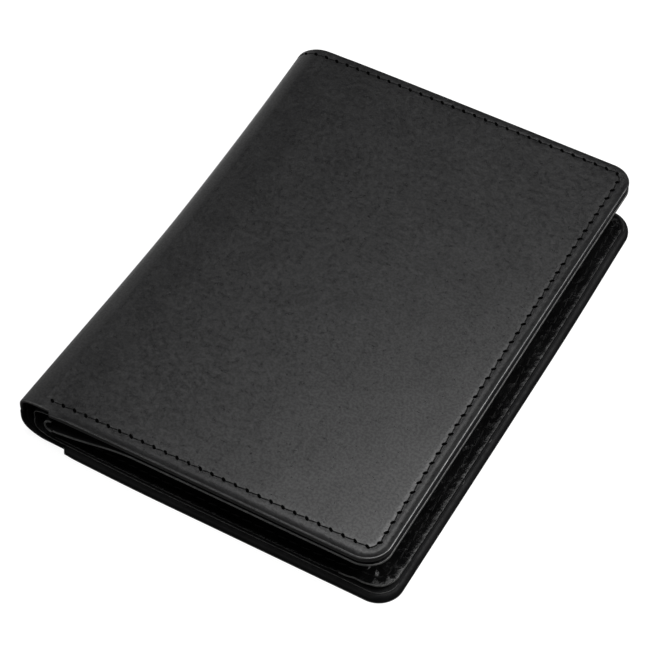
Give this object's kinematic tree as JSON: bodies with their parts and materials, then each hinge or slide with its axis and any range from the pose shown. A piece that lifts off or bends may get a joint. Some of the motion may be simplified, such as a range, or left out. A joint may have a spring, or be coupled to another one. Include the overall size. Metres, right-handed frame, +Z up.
{
  "type": "bifold wallet",
  "caption": "Closed portrait bifold wallet in black leather with a rounded fold, turned stitched edges, card pockets, a note compartment and an inner coin pouch with a press stud flap.",
  "frame": {"origin": "middle of the closed wallet's footprint on the table, under its back cover", "axes": "+Z up through the closed wallet, +Y along the fold, +X from the fold to the free edges"},
  "size_m": [0.094, 0.1268, 0.0153],
  "materials": {
    "nappa": "fine matte grain, black",
    "inner_nappa": "smooth matte, black",
    "lining": "fine woven twill, black",
    "stiffener": "bonded fibre board",
    "press_stud": "blackened, satin"
  },
  "bodies": {
    "back_half": {"back_cover": "nappa", "back_board": "stiffener", "back_lining": "lining", "back_divider": "lining", "back_inner_panel": "inner_nappa", "coin_gusset": "inner_nappa", "coin_front": "inner_nappa", "snap_post": "press_stud", "snap_stud": "press_stud"},
    "spine": {"spine_cover": "nappa", "spine_lining": "lining", "spine_divider": "lining"},
    "front_half": {"front_cover": "nappa", "front_board": "stiffener", "front_lining": "lining", "front_divider": "lining", "front_inner_panel": "inner_nappa", "card_pocket_1": "inner_nappa", "card_pocket_2": "inner_nappa", "card_pocket_3": "inner_nappa"},
    "flap": {"pouch_flap": "inner_nappa", "flap_lining": "lining", "snap_socket": "press_stud", "snap_cap": "press_stud"}
  },
  "joints": [
    {"name": "spine_fold", "type": "hinge", "parent": "back_half", "child": "spine", "pos_m": [-0.04523, 0, 0.00177], "axis": [0, -1, 0], "range_deg": [0, 89.4]},
    {"name": "front_fold", "type": "hinge", "parent": "spine", "child": "front_half", "pos_m": [-0.04523, 0, 0.01178], "axis": [0, -1, 0], "range_deg": [0, 89.4]},
    {"name": "flap_lift", "type": "hinge", "parent": "back_half", "child": "flap", "pos_m": [0.0372, 0, 0.00275], "axis": [0, 1, 0], "range_deg": [0, 85]}
  ],
  "couplings": [
    {"joint": "front_fold", "follows": "spine_fold", "ratio": 1},
    {"joint": "flap_lift", "follows": "spine_fold", "ratio": 0.95}
  ]
}
